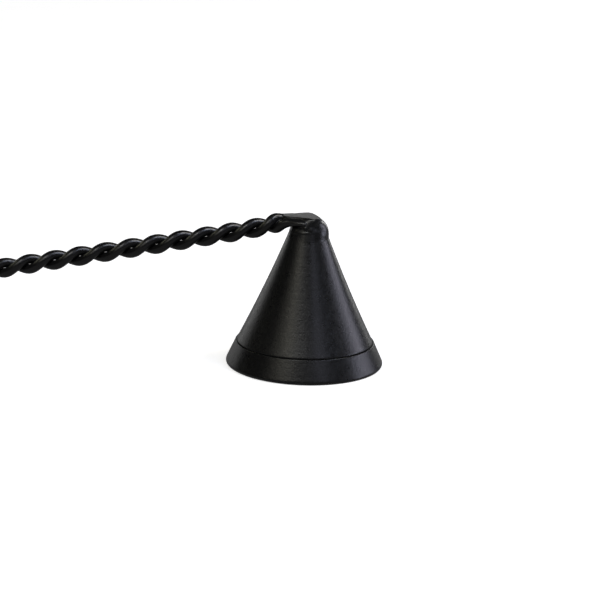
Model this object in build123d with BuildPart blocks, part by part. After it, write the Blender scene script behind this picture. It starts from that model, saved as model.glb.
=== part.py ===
"""Candle snuffer: a conical steel bell with a rim band, welded to a handle of twisted wire.

Millimetres. +Z is up and the origin is the centre of the bell's mouth, on the table. The handle
leaves the crown of the bell along -X and slopes down until its hanging eye rests on the table.
"""

import os
from math import atan, cos, pi, sin, tan

from build123d import *

# Rim band: a ring round the skirt, rolled round at the mouth and proud of the flank at its upper
# edge. The mouth radius is where its side would meet the table without the rolled lip.
mouth_radius = 20.25
lip_wall = 1.25
lip_edge = 0.7
band_height = 5.93
band_top_radius = 17.58
band_wall = 0.5
band_proud = 0.26
band_edge = 0.12

# Bell shell: a spun cone, slightly trumpet-shaped, with a closed crown
shell_wall = 0.95
skirt_wall = 0.5
flank_top_radius = 4.75
flank_top_height = 34.3
flank_hollow = 0.33
crown_height = 36.3
crown_flat_radius = 2.8
mouth_edge = 0.1

# Handle wire: one length of round wire, folded double into an eye and twisted left-handed
wire_radius = 1.25
strand_from_core = 1.27
half_lay = 6.4
twist_half_lays = 23.5
handle_slope = atan(0.1915)
twist_start = Vector(-19.73, 0, 33.43)
bend_rate = 0.0045
bend_half_lay = 6.0
bend_half_lays = 2.62
full_lay_half_lays = 2
eye_radius = 6.3
lead_steps = 12

# Flattened ends of the wire, ground level on top
paddle_top = 38.4
paddle_thickness = 2.1
paddle_round_radius = 3.6
paddle_neck_radius = 2.3
paddle_neck_from_axis = 5.0
ground_from_axis = 6.0

# Weld bead round the flattened ends and the crown, heavier on the side away from the handle
bead_offset = 0.45
bead_foot = (5.15, 33.2)
bead_belly = (5.13, 34.3)
bead_shoulder = (4.6, 35.9)
bead_lip = (3.65, paddle_top)

along_handle = Vector(-cos(handle_slope), 0, -sin(handle_slope))
above_handle = Vector(-sin(handle_slope), 0, cos(handle_slope))
sideways = Vector(0, 1, 0)
unit_speed = (1, 1)


def flank(foot, top, hollow):
    """The concave side of the bell, from its foot to its top, as one arc."""
    chord = Vector(*top) - Vector(*foot)
    middle = (Vector(*foot) + Vector(*top)) / 2
    inward = Vector(-chord.Y, chord.X).normalized()
    return ThreePointArc(foot, middle + inward * hollow, top)


def make_rim_band():
    with BuildPart() as rim_band:
        with BuildSketch(Plane.XZ):
            with BuildLine():
                Polyline(
                    (mouth_radius - lip_wall, 0),
                    (mouth_radius, 0),
                    (band_top_radius, band_height),
                    (band_top_radius - band_wall, band_height),
                    close=True,
                )
            make_face()
        revolve(axis=Axis.Z)
        levels = rim_band.edges().filter_by(GeomType.CIRCLE).group_by(Axis.Z)
        fillet(levels[0].sort_by(SortBy.RADIUS)[-1], lip_edge)
        fillet(levels[-1].sort_by(SortBy.RADIUS)[-1], band_edge)
    return rim_band


def bell_form(foot, top, crown_radius, crown):
    """A solid of the bell's outside or inside, from the points of its foot to its closed crown."""
    with BuildPart() as form:
        with BuildSketch(Plane.XZ):
            with BuildLine():
                Polyline((0, 0), *foot)
                flank(foot[-1], top, flank_hollow)
                TangentArc(top, (crown_radius, crown), tangent=(0, 1))
                Polyline((crown_radius, crown), (0, crown), (0, 0))
            make_face()
        revolve(axis=Axis.Z)
    return form


def make_bell_outside():
    skirt_foot = (mouth_radius - lip_wall, 0)
    skirt_top = (band_top_radius - band_wall, band_height)
    flank_foot = (band_top_radius - band_proud, band_height)
    top = (flank_top_radius, flank_top_height)
    return bell_form([skirt_foot, skirt_top, flank_foot], top, crown_flat_radius, crown_height)


def make_bell_inside():
    mouth = (mouth_radius - lip_wall - skirt_wall, 0)
    flank_foot = (band_top_radius - band_proud - shell_wall, band_height)
    top = (flank_top_radius - shell_wall, flank_top_height)
    crown_radius = crown_flat_radius - shell_wall / 2
    return bell_form([mouth, flank_foot], top, crown_radius, crown_height - shell_wall)


def make_bell_shell(bell_outside, bell_inside):
    with BuildPart() as bell_shell:
        add(bell_outside.part)
        add(bell_inside.part, mode=Mode.SUBTRACT)
        mouth_edges = bell_shell.edges().group_by(Axis.Z)[0]
        fillet(mouth_edges.sort_by(SortBy.RADIUS)[0], mouth_edge)
    return bell_shell


def bend_point(half_lays, phase):
    """A strand's centre past the bend's start. Its turning dies away beside the bell's crown."""
    run = half_lays * bend_half_lay * cos(handle_slope)
    core = twist_start + Vector(run, 0, run * tan(handle_slope) + bend_rate * run**2)
    turned = half_lays - max(0, half_lays - full_lay_half_lays) ** 2 / 2
    turn = phase - pi * turned
    return core + (sideways * cos(turn) + above_handle * sin(turn)) * strand_from_core


def twist():
    """One strand's helix, from low on the core at its start, running down the handle."""
    return Helix(
        2 * half_lay,
        twist_half_lays * half_lay,
        strand_from_core,
        center=twist_start,
        direction=along_handle,
        lefthand=True,
    )


def lead(strand, phase):
    """The strand's way on from its helix, round the bend to the side of the crown."""
    steps = [bend_half_lays * n / lead_steps for n in range(1, lead_steps + 2)]
    *points, beyond = [bend_point(half_lays, phase) for half_lays in steps]
    ends = (-(strand % 0), (beyond - points[-1]).normalized())
    return Spline(strand @ 0, *points, tangents=ends, tangent_scalars=unit_speed)


def eye(strand_out, strand_back):
    """The hanging eye, in the plane of the handle and the Y axis, its far end on the table."""
    throat = twist_start + along_handle * (twist_half_lays * half_lay)
    middle = (throat.Z - wire_radius) / sin(handle_slope) - eye_radius
    turns = [n * pi / 4 for n in range(-2, 3)]
    rounding = [(middle + eye_radius * cos(t), eye_radius * sin(t)) for t in turns]
    taper = (middle / 2, eye_radius / 2)
    route = [(taper[0], -taper[1]), *rounding, taper]
    points = [throat + along_handle * out + sideways * aside for out, aside in route]
    ends = (strand_out % 1, -(strand_back % 1))
    return Spline(strand_out @ 1, *points, strand_back @ 1, tangents=ends, tangent_scalars=unit_speed)


def make_handle_wire():
    with BuildPart() as handle_wire:
        with BuildLine() as route:
            strand_a = twist()
            strand_b = strand_a.rotate(Axis(twist_start, along_handle), 180)
            add(strand_b)
            lead(strand_a, -pi / 2)
            lead(strand_b, pi / 2)
            eye(strand_a, strand_b)
        for edge in route.edges():
            with BuildSketch(Plane(origin=edge @ 0, z_dir=edge % 0)):
                Circle(wire_radius)
            sweep(path=edge)
        with BuildSketch(Plane.XY.offset(paddle_top - paddle_thickness)):
            Circle(paddle_round_radius)
            with Locations((-paddle_neck_from_axis, 0)):
                Circle(paddle_neck_radius)
            make_hull()
        extrude(amount=paddle_thickness)
        with BuildSketch(Plane.XY.offset(paddle_top)):
            with Locations((-ground_from_axis, 0)):
                Rectangle(2 * ground_from_axis, mouth_radius, align=(Align.MIN, Align.CENTER))
        extrude(amount=2 * wire_radius, mode=Mode.SUBTRACT)
    return handle_wire


def make_weld_bead(bell_outside, handle_wire):
    bead_axis = Axis((bead_offset, 0, 0), (0, 0, 1))
    with BuildPart() as weld_bead:
        with BuildSketch(Plane.XZ):
            with BuildLine():
                Spline(bead_foot, bead_belly, bead_shoulder, bead_lip)
                Polyline(bead_lip, (bead_offset, bead_lip[1]), (bead_offset, bead_foot[1]), bead_foot)
            make_face()
        revolve(axis=bead_axis)
        add(bell_outside.part, mode=Mode.SUBTRACT)
        add(handle_wire.part, mode=Mode.SUBTRACT)
    return weld_bead


rim_band = make_rim_band()
rim_band.part.label = "rim_band"

bell_outside = make_bell_outside()
bell_shell = make_bell_shell(bell_outside, make_bell_inside())
bell_shell.part.label = "bell_shell"

handle_wire = make_handle_wire()
handle_wire.part.label = "handle_wire"

weld_bead = make_weld_bead(bell_outside, handle_wire)
weld_bead.part.label = "weld_bead"

os.makedirs("parts", exist_ok=True)
export_step(rim_band.part, "parts/rim_band.step")
export_step(bell_shell.part, "parts/bell_shell.step")
export_step(handle_wire.part, "parts/handle_wire.step")
export_step(weld_bead.part, "parts/weld_bead.step")
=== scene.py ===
"""Looks for a candle snuffer: a black powder-coated bell, its rim band, a twisted wire and a weld.

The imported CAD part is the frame. Lengths below are millimetres unless a name says otherwise, and
are turned into metres when a mesh is made.
"""

from math import atan, cos, pi, radians, sin

import bmesh
import bpy
import numpy as np
from mathutils import Matrix, Vector


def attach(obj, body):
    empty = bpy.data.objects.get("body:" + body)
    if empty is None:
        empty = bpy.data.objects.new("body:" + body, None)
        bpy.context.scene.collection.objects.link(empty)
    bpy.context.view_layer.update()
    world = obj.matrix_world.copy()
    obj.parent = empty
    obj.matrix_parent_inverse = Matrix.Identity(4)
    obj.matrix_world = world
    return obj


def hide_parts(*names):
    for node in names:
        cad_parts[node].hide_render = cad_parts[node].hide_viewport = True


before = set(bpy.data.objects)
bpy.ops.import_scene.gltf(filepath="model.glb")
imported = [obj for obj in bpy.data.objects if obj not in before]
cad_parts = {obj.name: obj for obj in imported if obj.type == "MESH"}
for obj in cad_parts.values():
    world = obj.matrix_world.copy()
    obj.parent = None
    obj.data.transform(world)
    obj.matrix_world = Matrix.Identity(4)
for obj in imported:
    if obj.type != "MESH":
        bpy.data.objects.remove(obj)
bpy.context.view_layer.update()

MM = 0.001
BODY = "root"

# ---------------------------------------------------------------- sizes shared with the CAD part

mouth_radius = 20.25
lip_wall = 1.25
lip_edge = 0.7
band_height = 5.93
band_top_radius = 17.58
band_wall = 0.5
band_proud = 0.26
band_edge = 0.12
shell_wall = 0.95
skirt_wall = 0.5
flank_top_radius = 4.75
flank_top_height = 34.3
flank_hollow = 0.33
crown_height = 36.3
crown_flat_radius = 2.8
mouth_edge = 0.1
flank_foot = (band_top_radius - band_proud, band_height)
flank_top = (flank_top_radius, flank_top_height)

wire_radius = 1.25
half_lay = 6.4
twist_half_lays = 23.5
slope = atan(0.1915)
twist_start = np.array((-19.73, 0.0, 33.43))
bend_rate = 0.0045
bend_half_lay = 6.0
full_lay_half_lays = 2.0
eye_radius = 6.3
paddle_top = 38.4

along_handle = np.array((-cos(slope), 0.0, -sin(slope)))
above_handle = np.array((-sin(slope), 0.0, cos(slope)))
sideways = np.array((0.0, 1.0, 0.0))
up = np.array((0.0, 0.0, 1.0))

# ---------------------------------------------------------------- sizes of the drawn skin alone

# Between the band and the flank
seam_depth = 0.07

# Strands a hair nearer the core and thinner than the CAD's, so that the skin stays in its box
strand_from_core = 1.26
inside_cad = 0.01

# The twist's creep along the handle: a bulge near the bell, a step back, and waves further out
drift_bulge = 0.43
drift_bulge_at = -41
drift_bulge_spread = 13
drift_step = 0.17
drift_step_over = (22, 40)
drift_waves = ((0.2, 9.1, 0), (0.14, 5.3, 1))
drift_waves_start = (78, 95)
drift_waves_end = (150, 164)

# In the bend, in half lays: how far ahead of an even twist the strands are, and where they gain
bend_ahead = 0.06
bend_ahead_from = 0.4
bend_ahead_full = 1.6
bend_quick = 0.10
bend_quick_at = 1.88
bend_quick_over = 0.22

# A step along the twist, in half lays, short enough to give its direction
a_little = 0.02

# Where along X the sculpted head takes over from the swept wire, and how much thinner each starts
head_from = -10.2
head_full = -8.4
sweep_until = -7.0
hidden_shrink = 0.12
emerging_shrink = 0.05

# The sculpted skin's grid
skin_voxel = 0.1

# Each strand's way along the flat, and where along X and by how much it is hammered flat
front_end = [(-4.2, -1.6, 36.98), (-2.9, -2.15, 37.0), (-1.5, -2.55, 37.0), (-0.5, -2.7, 36.9)]
back_end = [(-4.3, 1.55, 37.5), (-2.9, 2.05, 37.45), (-1.5, 2.4, 37.4), (-0.5, 2.5, 37.3)]
hammered_from = -6.4
hammered_full = -2.4
hammered_by = 0.3

# The flat seen from above, and its edge from below upwards as (height, how far it is tucked in)
paddle_outline = [
    (-6.2, -0.8), (-5.05, -1.65), (-3.3, -1.95), (-2.15, -2.3), (-1.0, -2.7), (0.15, -3.25),
    (1.3, -3.5), (2.3, -3.5), (3.05, -2.9), (3.0, -1.7), (2.4, 0.1), (1.3, 2.5), (0.15, 3.6),
    (-1.0, 3.45), (-2.15, 3.0), (-3.3, 2.3), (-5.05, 1.45), (-6.2, 0.8),
]
paddle_edge = [(37.0, 0.8), (37.25, 0.35), (37.7, 0.05), (38.05, 0.0), (38.3, 0.06), (38.6, 0.14)]
paddle_centre = np.array((-1.0, 0.0))
paddle_points = 160

# The ground top: its lift over the CAD's, its dents, and how it eases up behind the plate
ground_lift = 0.05
ground_dents = 0.015
ground_until = -6.3
ground_ease = 0.28

# The weld's radius at each level, on three sides
weld_levels = (32.6, 33.2, 34.2, 35.2, 35.8, 36.4, 37.2, 38.2)
weld_outer_side = (5.33, 5.28, 5.25, 5.08, 4.86, 4.57, 4.08, 3.65)
weld_front = (5.44, 5.21, 4.86, 4.52, 4.29, 4.12, 4.00, 3.95)
weld_handle_side = (5.10, 4.95, 4.60, 4.35, 3.70, 3.20, 2.70, 2.20)

# How the weld closes in on the flat, and how far it runs in under the bell's sheet and the wire
weld_round_from = 36.2
weld_round_power = 2.2
weld_top = 38.15
weld_plate_limit = 4.6
weld_into_crown = 0.3
weld_into_flank = 0.5
weld_under_wire = 0.06
weld_under_top = 0.1
weld_pinhole = 0.02

# Between which bearings, in radians from the outer side, the weld becomes its front and handle side
turn_to_front = (0.1, 0.5 * pi)
turn_to_handle = (0.55 * pi, 0.85 * pi)

# Each ripple: bearing in degrees (0 away from the handle, -90 front), height, rise, spread in mm
weld_ripples = (
    (-114, 36.6, 0.12, 0.4), (-99, 36.1, 0.14, 0.45), (-81, 35.8, 0.11, 0.5), (-62, 35.3, 0.05, 0.6),
    (-50, 34.7, 0.05, 0.8), (-30, 34.1, 0.04, 0.9), (-42, 37.8, 0.32, 0.9), (-64, 37.6, 0.25, 0.8),
    (28, 35.2, 0.05, 0.9), (58, 35.6, 0.10, 0.8), (84, 36.0, 0.14, 0.6), (108, 36.2, 0.14, 0.6),
    (132, 36.2, 0.12, 0.7), (-130, 36.5, 0.10, 0.6),
)


# ---------------------------------------------------------------- mesh helpers

def smoothstep(value, low, high):
    t = np.clip((value - low) / (high - low), 0, 1)
    return t * t * (3 - 2 * t)


def mesh_piece(name, vertices, faces):
    mesh = bpy.data.meshes.new(name)
    mesh.from_pydata((np.asarray(vertices) * MM).tolist(), [], faces)
    build = bmesh.new()
    build.from_mesh(mesh)
    bmesh.ops.remove_doubles(build, verts=build.verts, dist=1e-8)
    loose = [edge for edge in build.edges if not edge.link_faces]
    bmesh.ops.delete(build, geom=loose, context="EDGES")
    bmesh.ops.recalc_face_normals(build, faces=build.faces)
    build.to_mesh(mesh)
    build.free()
    mesh.shade_smooth()
    piece = bpy.data.objects.new(name, mesh)
    bpy.context.scene.collection.objects.link(piece)
    return piece


def grid_faces(rows, columns, closed_rows=False):
    """Quads between rows of points that each run right round a ring."""
    faces = []
    for i in range(rows if closed_rows else rows - 1):
        a, b = i * columns, ((i + 1) % rows) * columns
        for j in range(columns):
            k = (j + 1) % columns
            faces.append((a + j, a + k, b + k, b + j))
    return faces


def lathe(name, profile, segments=360):
    """A closed ring-shaped or solid piece from a closed profile of (radius, height) points."""
    profile = np.asarray(profile, float)
    angles = np.linspace(0, 2 * pi, segments, endpoint=False)
    radius, height = profile[:, 0, None], profile[:, 1, None]
    level = np.broadcast_to(height, (len(profile), segments))
    vertices = np.stack([radius * np.cos(angles), radius * np.sin(angles), level], axis=-1)
    return mesh_piece(name, vertices.reshape(-1, 3), grid_faces(len(profile), segments, True))


def arc_points(start, middle, end, count):
    """Points on the arc through three points of a profile."""
    (ax, ay), (bx, by), (cx, cy) = start, middle, end
    d = 2 * (ax * (by - cy) + bx * (cy - ay) + cx * (ay - by))
    a2, b2, c2 = ax * ax + ay * ay, bx * bx + by * by, cx * cx + cy * cy
    centre = np.array((
        (a2 * (by - cy) + b2 * (cy - ay) + c2 * (ay - by)) / d,
        (a2 * (cx - bx) + b2 * (ax - cx) + c2 * (bx - ax)) / d,
    ))
    spokes = [np.array(p) - centre for p in (start, middle, end)]
    turns = np.unwrap([np.arctan2(s[1], s[0]) for s in spokes])
    angles = np.linspace(turns[0], turns[2], count)
    size = np.linalg.norm(spokes[0])
    return [tuple(centre + size * np.array((np.cos(t), np.sin(t)))) for t in angles]


def line_points(start, end, count):
    return [tuple(p) for p in np.linspace(start, end, count)]


def round_corner(before, corner, after, radius, count=6):
    """A profile's corner, rounded: points from one tangent point to the other."""
    before, corner, after = (np.array(p, float) for p in (before, corner, after))
    a = (before - corner) / np.linalg.norm(before - corner)
    b = (after - corner) / np.linalg.norm(after - corner)
    half = np.arccos(np.clip(a @ b, -1, 1)) / 2
    reach = radius / np.tan(half)
    bisector = (a + b) / np.linalg.norm(a + b)
    centre = corner + bisector * radius / np.sin(half)
    middle = centre - bisector * radius
    return arc_points(tuple(corner + a * reach), tuple(middle), tuple(corner + b * reach), count)


def spline_points(points, start_direction, end_direction, spacing):
    """A smooth cubic through the points, evenly sampled, leaving and arriving in given directions."""
    points = np.asarray(points, float)
    gaps = np.linalg.norm(np.diff(points, axis=0), axis=1)
    knots = np.concatenate(([0.0], np.cumsum(gaps)))
    n = len(points)
    system, wanted = np.zeros((n, n)), np.zeros((n, 3))
    system[0, 0] = system[-1, -1] = 1
    wanted[0] = np.asarray(start_direction) / np.linalg.norm(start_direction)
    wanted[-1] = np.asarray(end_direction) / np.linalg.norm(end_direction)
    for i in range(1, n - 1):
        h0, h1 = gaps[i - 1], gaps[i]
        system[i, i - 1:i + 2] = (h1, 2 * (h0 + h1), h0)
        rise0, rise1 = (points[i] - points[i - 1]) / h0, (points[i + 1] - points[i]) / h1
        wanted[i] = 3 * (h1 * rise0 + h0 * rise1)
    slopes = np.linalg.solve(system, wanted)
    at = np.linspace(0, knots[-1], max(2, int(knots[-1] / spacing)))
    i = np.clip(np.searchsorted(knots, at, side="right") - 1, 0, n - 2)
    h = gaps[i][:, None]
    t = ((at - knots[i]) / gaps[i])[:, None]
    return (
        (1 + 2 * t) * (1 - t) ** 2 * points[i]
        + t * (1 - t) ** 2 * h * slopes[i]
        + t * t * (3 - 2 * t) * points[i + 1]
        + t * t * (t - 1) * h * slopes[i + 1]
    )


def capped_rings(rings, first_centre, last_centre):
    """Rings of points joined one to the next, with a fan of triangles closing each end."""
    rings = np.asarray(rings)
    rows, columns = rings.shape[:2]
    vertices = np.concatenate([rings.reshape(-1, 3), [first_centre], [last_centre]])
    faces = grid_faces(rows, columns)
    first, last, final_ring = rows * columns, rows * columns + 1, (rows - 1) * columns
    for j in range(columns):
        k = (j + 1) % columns
        faces.append((first, k, j))
        faces.append((last, final_ring + j, final_ring + k))
    return vertices, faces


def tube_mesh(centres, half_width, half_height, segments):
    """Rings of an upright ellipse swept along a path that is never vertical, closed at both ends."""
    centres = np.asarray(centres, float)
    run = np.gradient(centres, axis=0)
    run /= np.linalg.norm(run, axis=1)[:, None]
    side = np.cross(run, up)
    side /= np.linalg.norm(side, axis=1)[:, None]
    top = np.cross(side, run)
    angles = np.linspace(0, 2 * pi, segments, endpoint=False)
    width = np.broadcast_to(half_width, len(centres))[:, None, None]
    height = np.broadcast_to(half_height, len(centres))[:, None, None]
    rings = (
        centres[:, None]
        + side[:, None] * width * np.cos(angles)[None, :, None]
        + top[:, None] * height * np.sin(angles)[None, :, None]
    )
    return capped_rings(rings, centres[0], centres[-1])


def join_meshes(parts):
    vertices, faces, offset = [], [], 0
    for part_vertices, part_faces in parts:
        vertices.append(np.asarray(part_vertices))
        faces += [tuple(offset + v for v in face) for face in part_faces]
        offset += len(part_vertices)
    return np.concatenate(vertices), faces


def sculpted(name, parts, smoothing):
    """One closed skin over overlapping closed parts, its inner corners filled as a coat fills them."""
    piece = mesh_piece(name, *join_meshes(parts))
    remesh = piece.modifiers.new("skin", "REMESH")
    remesh.mode = "VOXEL"
    remesh.voxel_size = skin_voxel * MM
    smooth = piece.modifiers.new("coat", "SMOOTH")
    smooth.factor = 0.5
    smooth.iterations = smoothing
    evaluated = piece.evaluated_get(bpy.context.evaluated_depsgraph_get())
    skin = bpy.data.meshes.new_from_object(evaluated)
    piece.modifiers.clear()
    rough = piece.data
    piece.data = skin
    bpy.data.meshes.remove(rough)
    skin.name = name
    skin.shade_smooth()
    return piece


def reshape(piece, change):
    """Moves a mesh's points by a function of their positions in millimetres."""
    mesh = piece.data
    points = np.zeros(len(mesh.vertices) * 3)
    mesh.vertices.foreach_get("co", points)
    moved = change(points.reshape(-1, 3) / MM) * MM
    mesh.vertices.foreach_set("co", moved.ravel())
    mesh.update()


# ---------------------------------------------------------------- bell and band

def flank_points(foot, top, count):
    foot, top = np.array(foot, float), np.array(top, float)
    chord = top - foot
    inward = np.array((-chord[1], chord[0])) / np.linalg.norm(chord)
    middle = (foot + top) / 2 + inward * flank_hollow
    return arc_points(tuple(foot), tuple(middle), tuple(top), count)


def shoulder_points(top, crown_radius, crown, count):
    """The round shoulder from the upright top of the flank to the flat crown."""
    rise, inset = crown - top[1], top[0] - crown_radius
    size = (inset ** 2 + rise ** 2) / (2 * inset)
    centre = (top[0] - size, top[1])
    end = np.arctan2(rise, crown_radius - centre[0])
    angles = np.linspace(0, end, count)
    return [(centre[0] + size * cos(t), centre[1] + size * sin(t)) for t in angles]


def flank_radius(height):
    """The bell's outside radius at a height on its flank or shoulder."""
    profile = flank_points(flank_foot, flank_top, 80)
    profile += shoulder_points(flank_top, crown_flat_radius, crown_height, 30)
    radii, heights = zip(*profile)
    return np.interp(height, heights, radii)


def make_bell_shell():
    ledge = (band_top_radius - band_wall, band_height)
    groove = (flank_foot[0] - seam_depth, band_height)
    outside = line_points(ledge, groove, 4)
    clear_of_groove = 2
    outside += flank_points(flank_foot, flank_top, 150)[clear_of_groove:-1]
    outside += shoulder_points(flank_top, crown_flat_radius, crown_height, 20)
    outside += line_points((crown_flat_radius, crown_height), (0, crown_height), 6)[1:]
    inner_top = (flank_top_radius - shell_wall, flank_top_height)
    inner_crown = crown_height - shell_wall
    inner_flat = crown_flat_radius - shell_wall / 2
    inner_foot = (flank_foot[0] - shell_wall, band_height)
    inner_mouth = (mouth_radius - lip_wall - skirt_wall, mouth_edge)
    inside = line_points((0, inner_crown), (inner_flat, inner_crown), 6)[:-1]
    inside += shoulder_points(inner_top, inner_flat, inner_crown, 16)[::-1]
    inside += flank_points(inner_foot, inner_top, 90)[::-1][1:]
    inside += line_points(inner_foot, inner_mouth, 12)[1:]
    inside += [(inner_mouth[0] + mouth_edge, 0)]
    skirt = line_points((mouth_radius - lip_wall, 0), ledge, 12)[:-1]
    bell = lathe("bell_shell_skin", outside + inside + skirt)
    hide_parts("bell_shell")
    return bell


def make_rim_band():
    inner_foot = (mouth_radius - lip_wall, 0)
    outer_foot = (mouth_radius, 0)
    outer_top = (band_top_radius, band_height)
    inner_top = (band_top_radius - band_wall, band_height)
    profile = [inner_foot]
    profile += round_corner(inner_foot, outer_foot, outer_top, lip_edge, 16)
    upper = round_corner(outer_foot, outer_top, inner_top, band_edge)
    profile += line_points(profile[-1], upper[0], 30)[1:-1]
    profile += upper + [inner_top]
    profile += line_points(inner_top, inner_foot, 12)[1:-1]
    band = lathe("rim_band_skin", profile)
    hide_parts("rim_band")
    return band


# ---------------------------------------------------------------- twisted wire

def lay_drift(x):
    """How far the hand-made twist has crept along the handle, near x."""
    bulge = drift_bulge * np.exp(-((x - drift_bulge_at) / drift_bulge_spread) ** 2)
    near = bulge - drift_step * smoothstep(-x, *drift_step_over)
    far = sum(size * np.sin(x / length + shift) for size, length, shift in drift_waves)
    return near + far * smoothstep(-x, *drift_waves_start) * (1 - smoothstep(-x, *drift_waves_end))


def twist_point(half_lays, phase):
    """A strand's centre in the straight twist, in half lays down the handle from its start."""
    core = twist_start + along_handle * half_lays * half_lay
    lays = half_lays + lay_drift(core[0]) / (half_lay * cos(slope))
    turn = phase + pi * lays
    return core + (sideways * cos(turn) + above_handle * sin(turn)) * strand_from_core


def bend_point(half_lays, phase):
    """A strand's centre in the bend, in half lays towards the bell from the twist's start."""
    run = half_lays * bend_half_lay * cos(slope)
    core = twist_start + np.array((run, 0, run * np.tan(slope) + bend_rate * run ** 2))
    quick = bend_quick * np.tanh((half_lays - bend_quick_at) / bend_quick_over)
    ahead = (bend_ahead + quick) * smoothstep(half_lays, bend_ahead_from, bend_ahead_full)
    turned = half_lays - max(0, half_lays - full_lay_half_lays) ** 2 / 2 + ahead
    turn = phase - pi * turned
    return core + (sideways * cos(turn) + above_handle * sin(turn)) * strand_from_core


def eye_route(spacing):
    """The wire's way round the hanging eye, from one strand's end of the twist to the other's."""
    start, finish = twist_point(twist_half_lays, -pi / 2), twist_point(twist_half_lays, pi / 2)
    start_run = start - twist_point(twist_half_lays - a_little, -pi / 2)
    finish_run = twist_point(twist_half_lays - a_little, pi / 2) - finish
    throat = twist_start + along_handle * twist_half_lays * half_lay
    middle = (throat[2] - wire_radius) / sin(slope) - eye_radius
    turns = np.arange(-2, 3) * pi / 4
    rounding = [(middle + eye_radius * cos(t), eye_radius * sin(t)) for t in turns]
    flat = [(middle / 2, -eye_radius / 2), *rounding, (middle / 2, eye_radius / 2)]
    points = [throat + along_handle * out + sideways * aside for out, aside in flat]
    return spline_points([start, *points, finish], start_run, finish_run, spacing)


def end_route(phase, hand_points, spacing):
    """One strand from the twist's start, round the bend and along its side of the flat."""
    lead_steps, steps_per_half_lay = 10, 4
    lead = [bend_point(n / steps_per_half_lay, phase) for n in range(lead_steps)]
    start_run = twist_point(0, phase) - twist_point(a_little, phase)
    finish_run = np.array(hand_points[-1]) - np.array(hand_points[-2])
    return spline_points([*lead, *hand_points], start_run, finish_run, spacing)


def make_twisted_wire():
    spacing = 0.33
    step = 1 / 20
    counts = np.arange(0, twist_half_lays + step / 2, step)
    strand_a = np.array([twist_point(n, -pi / 2) for n in counts])
    strand_b = np.array([twist_point(n, pi / 2) for n in counts])
    ends = [end_route(-pi / 2, front_end, spacing), end_route(pi / 2, back_end, spacing)]
    end_a, end_b = (route[route[:, 0] < sweep_until] for route in ends)
    route = np.concatenate([
        end_a[::-1], strand_a[1:], eye_route(spacing)[1:-1], strand_b[::-1], end_b[1:],
    ])
    hidden_end = smoothstep(route[:, 0], head_full, sweep_until)
    size = wire_radius - inside_cad - hidden_shrink * hidden_end
    wire = mesh_piece("handle_wire_twist", *tube_mesh(route, size, size, segments=28))
    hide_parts("handle_wire")
    return wire


def end_tube(phase, hand_points, shrink):
    """A strand's last stretch: round where it leaves the twist, hammered lower and wider after."""
    route = end_route(phase, hand_points, spacing=0.12)
    route = route[route[:, 0] > head_from]
    x = route[:, 0]
    hammered = smoothstep(x, hammered_from, hammered_full)
    emerging = emerging_shrink * (1 - smoothstep(x, head_from, head_full))
    width = wire_radius + hammered_by * hammered - emerging - shrink
    height = wire_radius - hammered_by * hammered - emerging - shrink
    return tube_mesh(route, width, height, segments=40)


def closed_outline(points, count):
    """A closed smooth curve through points in the plane: the middle lap of three."""
    points = np.asarray(points, float)
    laps = np.concatenate([points] * 3)
    level = np.column_stack([laps, np.zeros(len(laps))])
    curve = spline_points(level, level[1] - level[0], level[-1] - level[-2], spacing=0.02)
    gaps = np.linalg.norm(np.diff(laps, axis=0), axis=1)
    lap = gaps[: len(points)].sum()
    total = gaps.sum()
    at = np.linspace(lap / total, 2 * lap / total, count, endpoint=False)
    return curve[np.round(at * (len(curve) - 1)).astype(int), :2]


def paddle_mesh(shrink):
    """The flattened ends as one plate: full width at half height, tucked in above and below."""
    outline = closed_outline(paddle_outline, paddle_points)
    out = outline - paddle_centre
    size = np.linalg.norm(out, axis=1)[:, None]
    rings = []
    for height, tuck in paddle_edge:
        ring = paddle_centre + out * (size - tuck - shrink) / size
        rings.append(np.column_stack([ring, np.full(len(ring), height)]))
    lowest, highest = paddle_edge[0][0], paddle_edge[-1][0]
    return capped_rings(rings, (*paddle_centre, lowest), (*paddle_centre, highest))


def ground_flat(points):
    """The flat top: a plane over the plate, easing up on to the round strands behind it."""
    x, y, z = points.T
    behind = np.clip(ground_until - x, 0, None)
    dents = ground_dents * np.sin(1.9 * x + 0.7 * y) * np.sin(1.3 * y - 0.6 * x + 1)
    ceiling = paddle_top + ground_lift + dents + ground_ease * behind ** 2
    return np.column_stack([x, y, np.minimum(z, ceiling)])


def make_wire_ends():
    parts = [
        end_tube(-pi / 2, front_end, 0),
        end_tube(pi / 2, back_end, 0),
        paddle_mesh(0),
    ]
    ends = sculpted("handle_wire_flat", parts, smoothing=4)
    reshape(ends, ground_flat)
    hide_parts("handle_wire")
    return ends


# ---------------------------------------------------------------- weld

def plate_reach(bearing):
    """How far the plate's outline is from the bell's axis, kept short on the handle's side."""
    outline = closed_outline(paddle_outline, paddle_points)
    outline_bearings = np.arctan2(outline[:, 1], outline[:, 0])
    order = np.argsort(outline_bearings)
    sizes = np.linalg.norm(outline, axis=1)[order]
    reach = np.interp(bearing, outline_bearings[order], sizes, period=2 * pi)
    return np.minimum(reach, weld_plate_limit)


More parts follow.
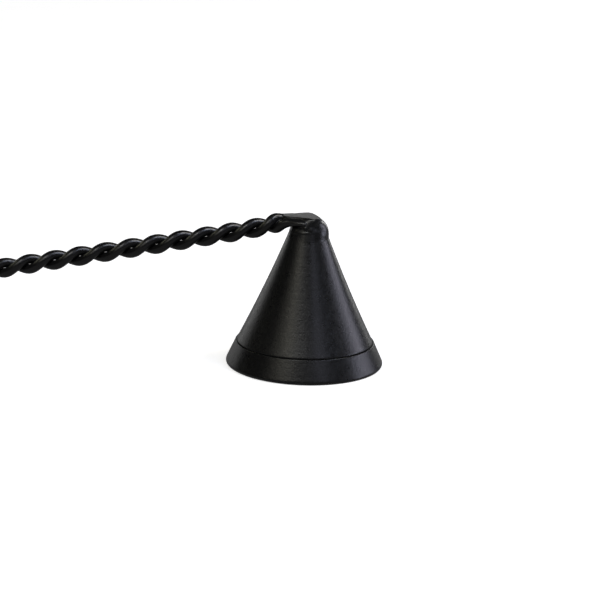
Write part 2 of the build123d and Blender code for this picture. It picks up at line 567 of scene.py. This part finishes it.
def weld_radius(bearing, height):
    """The weld's outside, from the bell's axis: heaviest on the side away from the handle."""
    side = np.interp(height, weld_levels, weld_outer_side)
    front = np.interp(height, weld_levels, weld_front)
    handle = np.interp(height, weld_levels, weld_handle_side)
    around = np.abs((bearing + pi) % (2 * pi) - pi)
    to_front = smoothstep(around, *turn_to_front)
    to_handle = smoothstep(around, *turn_to_handle)
    radius = side + (front - side) * to_front + (handle - front) * to_handle
    for degrees, level, rise, spread in weld_ripples:
        away = np.abs((bearing - radians(degrees) + pi) % (2 * pi) - pi) * radius
        radius = radius + rise * np.exp(-(away ** 2 + (height - level) ** 2) / spread ** 2)
    lip = np.clip((height - weld_round_from) / (paddle_top - weld_round_from), 0, 1)
    meeting = plate_reach(bearing) + (handle - plate_reach(bearing)) * to_handle
    return radius + (np.minimum(meeting, radius) - radius) * lip ** weld_round_power


def weld_mesh():
    """The weld as a ring: up its outside, in under the flat, and down inside the bell's sheet."""
    columns = 144
    core_top, core_radius = crown_height - weld_into_crown, crown_flat_radius - 0.1
    core_shoulder = flank_top_height + 0.9
    bearings = np.linspace(0, 2 * pi, columns, endpoint=False)
    rings = []
    for height in np.linspace(weld_levels[0], weld_top, 46):
        rings.append((weld_radius(bearings, height), height))
    rings.append((np.full(columns, weld_pinhole), weld_top))
    rings.append((np.full(columns, weld_pinhole), core_top))
    rings.append((np.full(columns, core_radius), core_top))
    for height in np.linspace(core_shoulder, weld_levels[0], 8):
        rings.append((np.full(columns, flank_radius(height) - weld_into_flank), height))
    rows = [
        np.column_stack([radius * np.cos(bearings), radius * np.sin(bearings), np.full(columns, height)])
        for radius, height in rings
    ]
    return np.concatenate(rows), grid_faces(len(rows), columns, closed_rows=True)


def under_the_flat(points):
    """The weld's skin, kept just below the ground top."""
    x, y, z = points.T
    return np.column_stack([x, y, np.minimum(z, paddle_top - weld_under_top)])


def make_weld():
    parts = [
        weld_mesh(),
        paddle_mesh(weld_under_wire),
        end_tube(-pi / 2, front_end, weld_under_wire),
        end_tube(pi / 2, back_end, weld_under_wire),
    ]
    weld = sculpted("weld_bead_skin", parts, smoothing=7)
    reshape(weld, under_the_flat)
    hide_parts("weld_bead")
    return weld


# ---------------------------------------------------------------- powder coat

def powder_coat(name, turned):
    """Black powder coat: fine soft pebbling, uneven sheen, a little dust; lathe marks if turned."""
    material = bpy.data.materials.new(name)
    material.use_nodes = True
    tree = material.node_tree
    nodes, links = tree.nodes, tree.links
    nodes.clear()
    shader = nodes.new("ShaderNodeBsdfPrincipled")
    output = nodes.new("ShaderNodeOutputMaterial")
    links.new(shader.outputs["BSDF"], output.inputs["Surface"])
    place = nodes.new("ShaderNodeTexCoord").outputs["Object"]

    def noise(scale, detail, roughness=0.5, vector=place):
        node = nodes.new("ShaderNodeTexNoise")
        node.inputs["Scale"].default_value = scale
        node.inputs["Detail"].default_value = detail
        node.inputs["Roughness"].default_value = roughness
        links.new(vector, node.inputs["Vector"])
        return node.outputs["Fac"]

    def ranged(value, low, high, to_low, to_high):
        node = nodes.new("ShaderNodeMapRange")
        node.interpolation_type = "SMOOTHSTEP"
        node.inputs["From Min"].default_value = low
        node.inputs["From Max"].default_value = high
        node.inputs["To Min"].default_value = to_low
        node.inputs["To Max"].default_value = to_high
        links.new(value, node.inputs["Value"])
        return node.outputs["Result"]

    def bump(height, depth_mm, strength, below=None):
        node = nodes.new("ShaderNodeBump")
        node.inputs["Strength"].default_value = strength
        node.inputs["Distance"].default_value = depth_mm * MM
        links.new(height, node.inputs["Height"])
        if below is not None:
            links.new(below, node.inputs["Normal"])
        return node.outputs["Normal"]

    dust = ranged(noise(1100, 2, 0.6), 0.79, 0.82, 0.0, 1.0)
    tone = ranged(noise(160, 4), 0.3, 0.7, 0.0, 1.0)
    colours = nodes.new("ShaderNodeMix")
    colours.data_type = "RGBA"
    colours.inputs["A"].default_value = (0.0065, 0.0067, 0.0070, 1)
    colours.inputs["B"].default_value = (0.0100, 0.0100, 0.0103, 1)
    links.new(tone, colours.inputs["Factor"])
    dusty = nodes.new("ShaderNodeMix")
    dusty.data_type = "RGBA"
    dusty.inputs["B"].default_value = (0.10, 0.09, 0.08, 1)
    links.new(dust, dusty.inputs["Factor"])
    links.new(colours.outputs["Result"], dusty.inputs["A"])
    links.new(dusty.outputs["Result"], shader.inputs["Base Color"])
    links.new(ranged(noise(900, 4, 0.6), 0.3, 0.7, 0.27, 0.34), shader.inputs["Roughness"])

    pebble_mm = 0.05 if turned else 0.03
    normal = bump(noise(1300, 3, 0.6), pebble_mm, 0.5)
    normal = bump(noise(2600, 2), 0.03, 0.4, normal)
    if turned:
        stretch = nodes.new("ShaderNodeMapping")
        stretch.inputs["Scale"].default_value = (0.02, 0.02, 1)
        links.new(place, stretch.inputs["Vector"])
        normal = bump(noise(2600, 3, 0.5, stretch.outputs["Vector"]), 0.025, 0.4, normal)
    links.new(normal, shader.inputs["Normal"])
    return material


def give(piece, material):
    piece.data.materials.clear()
    piece.data.materials.append(material)
    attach(piece, BODY)


bell = make_bell_shell()
band = make_rim_band()
twist = make_twisted_wire()
ends = make_wire_ends()
weld = make_weld()
turned_coat = powder_coat("powder_coat_turned", turned=True)
plain_coat = powder_coat("powder_coat_plain", turned=False)
for piece in (bell, band):
    give(piece, turned_coat)
for piece in (twist, ends, weld):
    give(piece, plain_coat)


# ---------------------------------------------------------------- floor, lights and camera

def make_floor():
    material = bpy.data.materials.new("white_table")
    material.use_nodes = True
    shader = material.node_tree.nodes["Principled BSDF"]
    shader.inputs["Base Color"].default_value = (0.9, 0.9, 0.9, 1)
    shader.inputs["Roughness"].default_value = 0.7
    shader.inputs["Specular IOR Level"].default_value = 0.2
    shader.inputs["Emission Color"].default_value = (1, 1, 1, 1)
    shader.inputs["Emission Strength"].default_value = 0.65
    size = 6000
    corners = [(-size, -size, 0), (size, -size, 0), (size, size, 0), (-size, size, 0)]
    floor = mesh_piece("floor", corners, [(0, 1, 2, 3)])
    floor.data.materials.append(material)
    floor.visible_glossy = False
    floor.visible_diffuse = False


def area_light(name, bearing, elevation, distance_m, size_m, radiance, tint):
    """A square softbox aimed at the bell. Bearing is degrees to the right of the camera's side."""
    across, rise = radians(bearing), radians(elevation)
    direction = Vector((sin(across) * cos(rise), -cos(across) * cos(rise), sin(rise)))
    aim = Vector((-25, 0, 18)) * MM
    data = bpy.data.lights.new(name, "AREA")
    data.shape = "RECTANGLE"
    data.size, data.size_y = size_m, size_m
    data.energy = radiance * pi * size_m * size_m
    data.color = tint
    light = bpy.data.objects.new(name, data)
    light.location = aim + direction * distance_m
    light.rotation_euler = direction.to_track_quat("Z", "Y").to_euler()
    light.visible_camera = False
    bpy.context.scene.collection.objects.link(light)


def make_world():
    """No sky, and a faint glow from below the horizon where a white table's light comes from."""
    world = bpy.data.worlds.new("studio")
    world.use_nodes = True
    nodes, links = world.node_tree.nodes, world.node_tree.links
    place = nodes.new("ShaderNodeTexCoord")
    split = nodes.new("ShaderNodeSeparateXYZ")
    glow = nodes.new("ShaderNodeMapRange")
    glow.inputs["From Min"].default_value = -0.05
    glow.inputs["From Max"].default_value = 0.05
    glow.inputs["To Min"].default_value = 0.19
    glow.inputs["To Max"].default_value = 0.0
    sky = nodes["Background"]
    sky.inputs["Color"].default_value = (1, 1, 1, 1)
    links.new(place.outputs["Generated"], split.inputs["Vector"])
    links.new(split.outputs["Z"], glow.inputs["Value"])
    links.new(glow.outputs["Result"], sky.inputs["Strength"])
    bpy.context.scene.world = world


def make_lights():
    """Softboxes round the bell: warm keys front left, a cool fill and bank right, and a ring behind."""
    warm, neutral, cool = (1.0, 0.96, 0.82), (1, 1, 1), (0.80, 0.82, 1.0)
    reach_m, box_m = 0.9, 0.28
    area_light("key", -30, 36, reach_m, box_m, 1.80, warm)
    area_light("key_left", -50, 36, reach_m, box_m, 0.68, warm)
    area_light("fill", 30, 36, reach_m, box_m, 1.20, cool)
    area_light("high", -10, 52, reach_m, box_m, 7.2, neutral)
    area_light("high_right", 70, 52, reach_m, box_m, 7.6, (0.64, 0.74, 1.0))
    area_light("high_side", 90, 52, reach_m, box_m, 8.0, (1.0, 0.94, 0.80))
    area_light("side", 110, 22, reach_m, box_m, 3.4, (0.90, 0.86, 1.0))
    area_light("side_front_low", 90, 8, reach_m, box_m, 3.6, cool)
    area_light("side_low", 110, 8, reach_m, box_m, 1.5, cool)
    area_light("high_left", -110, 36, reach_m, box_m, 2.2, (1.0, 0.98, 0.72))
    area_light("side_left", -130, 8, reach_m, box_m, 0.60, neutral)
    area_light("back_left", -150, 8, reach_m, box_m, 1.4, neutral)
    area_light("back_right", 150, 8, reach_m, box_m, 2.8, neutral)
    area_light("back", 180, 15, reach_m, box_m, 0.65, neutral)


def make_camera():
    elevation, roll = radians(15.264), radians(1.70)
    distance, lens = 600.0, 141.58
    level_right = Vector((1, 0, 0))
    level_up = Vector((0, sin(elevation), cos(elevation)))
    look = Vector((0, cos(elevation), -sin(elevation)))
    target_right, target_up = -1.491, 15.936
    target = level_right * target_right + level_up * target_up
    right = level_right * cos(roll) + level_up * sin(roll)
    above = level_up * cos(roll) - level_right * sin(roll)
    data = bpy.data.cameras.new("camera")
    data.lens = lens
    data.sensor_width = 36
    data.clip_start, data.clip_end = 0.01, 50
    camera = bpy.data.objects.new("camera", data)
    turn = Matrix((right, above, -look)).transposed().to_4x4()
    camera.matrix_world = Matrix.Translation((target - look * distance) * MM) @ turn
    bpy.context.scene.collection.objects.link(camera)
    bpy.context.scene.camera = camera


make_floor()
make_world()
make_lights()
make_camera()
bpy.context.scene.view_settings.view_transform = "Standard"

bpy.context.view_layer.update()
